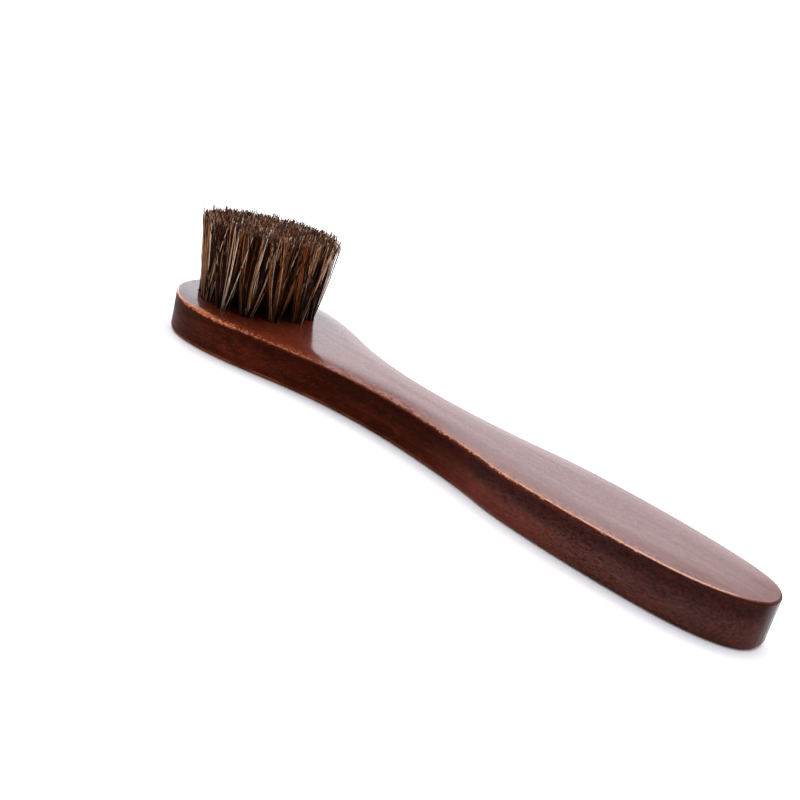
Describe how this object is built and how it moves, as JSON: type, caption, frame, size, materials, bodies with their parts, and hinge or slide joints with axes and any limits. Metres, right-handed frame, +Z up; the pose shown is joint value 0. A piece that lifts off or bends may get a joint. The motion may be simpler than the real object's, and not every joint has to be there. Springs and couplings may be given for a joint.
{
  "type": "shoe shine brush",
  "caption": "Shoe shine brush with a flat, waisted hardwood handle and a round head of upright horsehair tufts, for putting on and buffing polish.",
  "frame": {"origin": "under the middle of the handle, on the flat back face", "axes": "+X along the handle from the head to the butt, +Z up through the hair, +Y to the side"},
  "size_m": [0.1694, 0.042, 0.0309],
  "materials": {
    "stained_wood": "dark brown stain under semi-gloss lacquer, worn to tan on the edges",
    "anchor_wire": "bright flat wire",
    "horsehair": "mixed black, chestnut and tan hair, cut level"
  },
  "bodies": {
    "root": {"handle": "stained_wood", "anchor_staples": "anchor_wire", "tuft_outer_01": "horsehair", "tuft_outer_02": "horsehair", "tuft_outer_03": "horsehair", "tuft_outer_04": "horsehair", "tuft_outer_05": "horsehair", "tuft_outer_06": "horsehair", "tuft_outer_07": "horsehair", "tuft_outer_08": "horsehair", "tuft_outer_09": "horsehair", "tuft_outer_10": "horsehair", "tuft_outer_11": "horsehair", "tuft_outer_12": "horsehair", "tuft_outer_13": "horsehair", "tuft_middle_01": "horsehair", "tuft_middle_02": "horsehair", "tuft_middle_03": "horsehair", "tuft_middle_04": "horsehair", "tuft_middle_05": "horsehair", "tuft_middle_06": "horsehair", "tuft_middle_07": "horsehair", "tuft_middle_08": "horsehair", "tuft_inner_01": "horsehair", "tuft_inner_02": "horsehair", "tuft_inner_03": "horsehair"}
  },
  "joints": []
}
